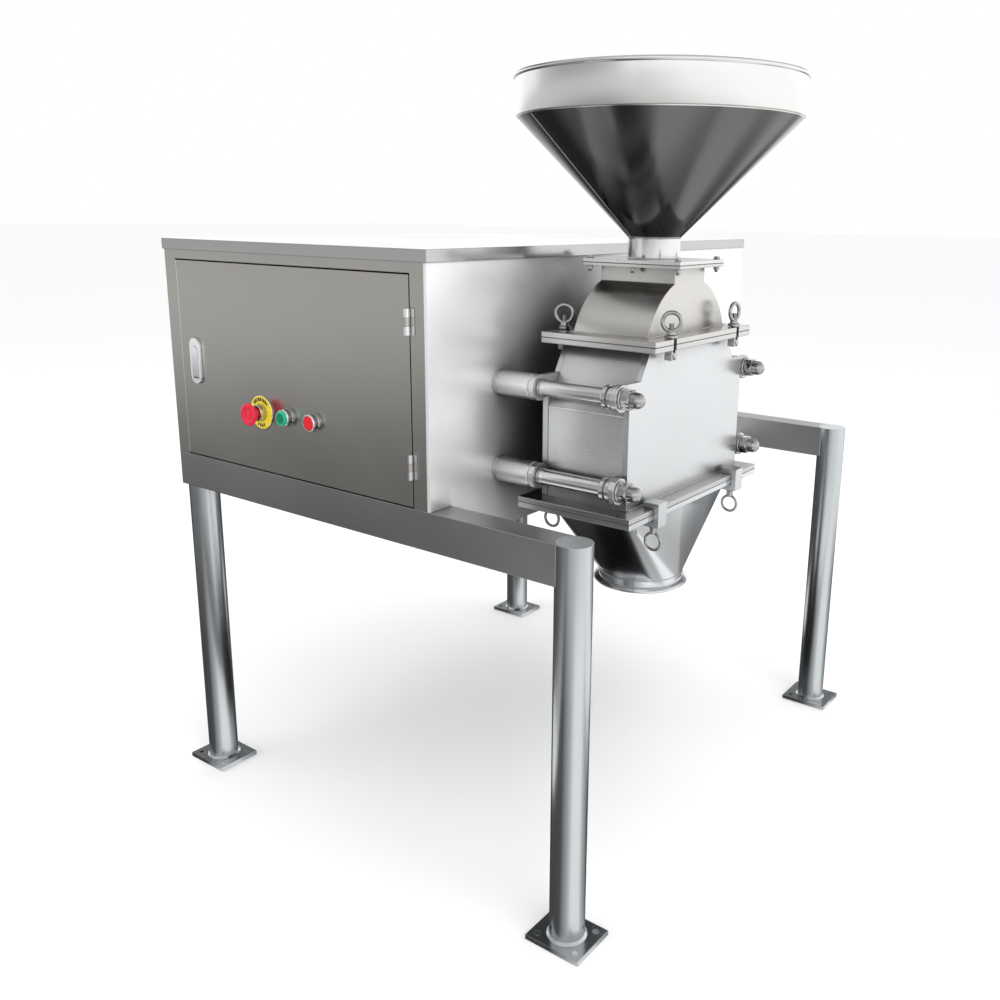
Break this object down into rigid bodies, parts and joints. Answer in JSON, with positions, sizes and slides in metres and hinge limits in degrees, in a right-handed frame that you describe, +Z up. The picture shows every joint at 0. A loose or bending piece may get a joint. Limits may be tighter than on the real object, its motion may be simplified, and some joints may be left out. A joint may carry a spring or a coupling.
{
  "type": "hammer mill",
  "caption": "Stainless hammer mill on four tube legs: hopper, curved chute, tie-rod mill head with swing hammers, outlet cone, and a drive cabinet with a hinged control door.",
  "frame": {"origin": "on the floor, under the middle of the box that the whole machine fills", "axes": "+Z up; +X from the cabinet's tail towards the mill head; the control door faces -Y"},
  "size_m": [1.0686, 1.1016, 1.323],
  "materials": {
    "brushed_stainless": "brushed sheet with soft reflections",
    "satin_stainless": "satin, bright turned and ground faces",
    "polished_stainless": "polished, spun and welded",
    "chrome": "bright plated",
    "red_plastic": "moulded, semi-gloss",
    "green_plastic": "moulded, translucent",
    "motor_paint": "machine enamel",
    "cast_iron": "cast and painted dark",
    "hard_steel": "machined",
    "rubber": "moulded belt"
  },
  "bodies": {
    "frame": {"back_side_panel": "brushed_stainless", "cap_nut_lower_back": "chrome", "cap_nut_lower_door": "chrome", "cap_nut_upper_back": "chrome", "cap_nut_upper_door": "chrome", "clamp_front_back": "satin_stainless", "clamp_front_door": "satin_stainless", "clamp_rear_back": "satin_stainless", "clamp_rear_door": "satin_stainless", "door_hinge_lower": "chrome", "door_hinge_upper": "chrome", "door_side_panel": "brushed_stainless", "drive_belt": "rubber", "head_wall": "satin_stainless", "hopper": "polished_stainless", "inlet_chute": "brushed_stainless", "leg_head_back": "satin_stainless", "leg_head_door": "satin_stainless", "leg_tail_back": "satin_stainless", "leg_tail_door": "satin_stainless", "lid": "brushed_stainless", "mill_back_plate": "satin_stainless", "mill_casing": "brushed_stainless", "mill_front_plate": "satin_stainless", "motor": "motor_paint", "motor_shelf": "brushed_stainless", "outlet_cone": "brushed_stainless", "screen": "hard_steel", "side_beam_back": "brushed_stainless", "side_beam_door": "brushed_stainless", "spindle_housing": "cast_iron", "tail_panel": "brushed_stainless", "tie_rod_lower_back": "satin_stainless", "tie_rod_lower_door": "satin_stainless", "tie_rod_upper_back": "satin_stainless", "tie_rod_upper_door": "satin_stainless"},
    "door": {"door": "brushed_stainless", "latch_cup": "chrome", "estop_body": "brushed_stainless", "start_bezel": "chrome", "stop_bezel": "chrome"},
    "latch_paddle": {"latch_paddle": "chrome"},
    "estop_head": {"estop_head": "red_plastic"},
    "start_button": {"start_button": "green_plastic"},
    "stop_button": {"stop_button": "red_plastic"},
    "rotor": {"main_shaft": "hard_steel", "rotor": "hard_steel"},
    "motor_pulley": {"motor_pulley": "hard_steel"},
    "hammer_1": {"hammer_1": "hard_steel"},
    "hammer_2": {"hammer_2": "hard_steel"},
    "hammer_3": {"hammer_3": "hard_steel"},
    "hammer_4": {"hammer_4": "hard_steel"},
    "swing_bolt_front_door": {"swing_bolt_front_door": "satin_stainless"},
    "clamp_screw_front_door": {"clamp_screw_front_door": "chrome"},
    "swing_bolt_front_back": {"swing_bolt_front_back": "satin_stainless"},
    "clamp_screw_front_back": {"clamp_screw_front_back": "chrome"},
    "swing_bolt_rear_door": {"swing_bolt_rear_door": "satin_stainless"},
    "clamp_screw_rear_door": {"clamp_screw_rear_door": "chrome"},
    "swing_bolt_rear_back": {"swing_bolt_rear_back": "satin_stainless"},
    "clamp_screw_rear_back": {"clamp_screw_rear_back": "chrome"}
  },
  "joints": [
    {"name": "door_swing", "type": "hinge", "parent": "frame", "child": "door", "pos_m": [0.1064, -0.52425, 0.83925], "axis": [0, 0, 1], "range_deg": [0, 110]},
    {"name": "latch_lift", "type": "hinge", "parent": "door", "child": "latch_paddle", "pos_m": [-0.43355, -0.51925, 0.812], "axis": [1, 0, 0], "range_deg": [0, 45]},
    {"name": "estop_push", "type": "slide", "parent": "door", "child": "estop_head", "axis": [0, 1, 0], "range_m": [0, 0.006]},
    {"name": "start_push", "type": "slide", "parent": "door", "child": "start_button", "axis": [0, 1, 0], "range_m": [0, 0.0035], "stiffness_N_per_m": 600, "springref_m": -0.002},
    {"name": "stop_push", "type": "slide", "parent": "door", "child": "stop_button", "axis": [0, 1, 0], "range_m": [0, 0.0035], "stiffness_N_per_m": 600, "springref_m": -0.002},
    {"name": "rotor_spin", "type": "hinge", "parent": "frame", "child": "rotor", "pos_m": [0.29215, -0.13345, 0.772], "axis": [1, 0, 0], "continuous": true},
    {"name": "motor_spin", "type": "hinge", "parent": "frame", "child": "motor_pulley", "pos_m": [-0.11985, 0.20725, 0.779], "axis": [1, 0, 0], "continuous": true},
    {"name": "hammer_1_swing", "type": "hinge", "parent": "rotor", "child": "hammer_1", "pos_m": [0.29515, -0.09102, 0.81443], "axis": [1, 0, 0], "range_deg": [-80, 80]},
    {"name": "hammer_2_swing", "type": "hinge", "parent": "rotor", "child": "hammer_2", "pos_m": [0.29515, -0.17588, 0.81443], "axis": [1, 0, 0], "range_deg": [-80, 80]},
    {"name": "hammer_3_swing", "type": "hinge", "parent": "rotor", "child": "hammer_3", "pos_m": [0.29515, -0.17588, 0.72957], "axis": [1, 0, 0], "range_deg": [-80, 80]},
    {"name": "hammer_4_swing", "type": "hinge", "parent": "rotor", "child": "hammer_4", "pos_m": [0.29515, -0.09102, 0.72957], "axis": [1, 0, 0], "range_deg": [-80, 80]},
    {"name": "swing_bolt_front_door_swing", "type": "hinge", "parent": "frame", "child": "swing_bolt_front_door", "pos_m": [0.39535, -0.23675, 0.8955], "axis": [0, 1, 0], "range_deg": [0, 130]},
    {"name": "swing_bolt_front_back_swing", "type": "hinge", "parent": "frame", "child": "swing_bolt_front_back", "pos_m": [0.39535, -0.01675, 0.8955], "axis": [0, 1, 0], "range_deg": [0, 130]},
    {"name": "swing_bolt_rear_door_swing", "type": "hinge", "parent": "frame", "child": "swing_bolt_rear_door", "pos_m": [0.19645, -0.24495, 0.8955], "axis": [0, -1, 0], "range_deg": [0, 40]},
    {"name": "swing_bolt_rear_back_swing", "type": "hinge", "parent": "frame", "child": "swing_bolt_rear_back", "pos_m": [0.19645, -0.02495, 0.8955], "axis": [0, -1, 0], "range_deg": [0, 40]},
    {"name": "clamp_screw_front_door_turn", "type": "hinge", "parent": "frame", "child": "clamp_screw_front_door", "pos_m": [0.39615, -0.27095, 0.599], "axis": [0, 0, 1], "continuous": true},
    {"name": "clamp_screw_front_back_turn", "type": "hinge", "parent": "frame", "child": "clamp_screw_front_back", "pos_m": [0.39615, 0.00405, 0.599], "axis": [0, 0, 1], "continuous": true},
    {"name": "clamp_screw_rear_door_turn", "type": "hinge", "parent": "frame", "child": "clamp_screw_rear_door", "pos_m": [0.19565, -0.27095, 0.599], "axis": [0, 0, 1], "continuous": true},
    {"name": "clamp_screw_rear_back_turn", "type": "hinge", "parent": "frame", "child": "clamp_screw_rear_back", "pos_m": [0.19565, 0.00405, 0.599], "axis": [0, 0, 1], "continuous": true}
  ],
  "couplings": [
    {"joint": "motor_spin", "follows": "rotor_spin", "ratio": 0.71429}
  ]
}
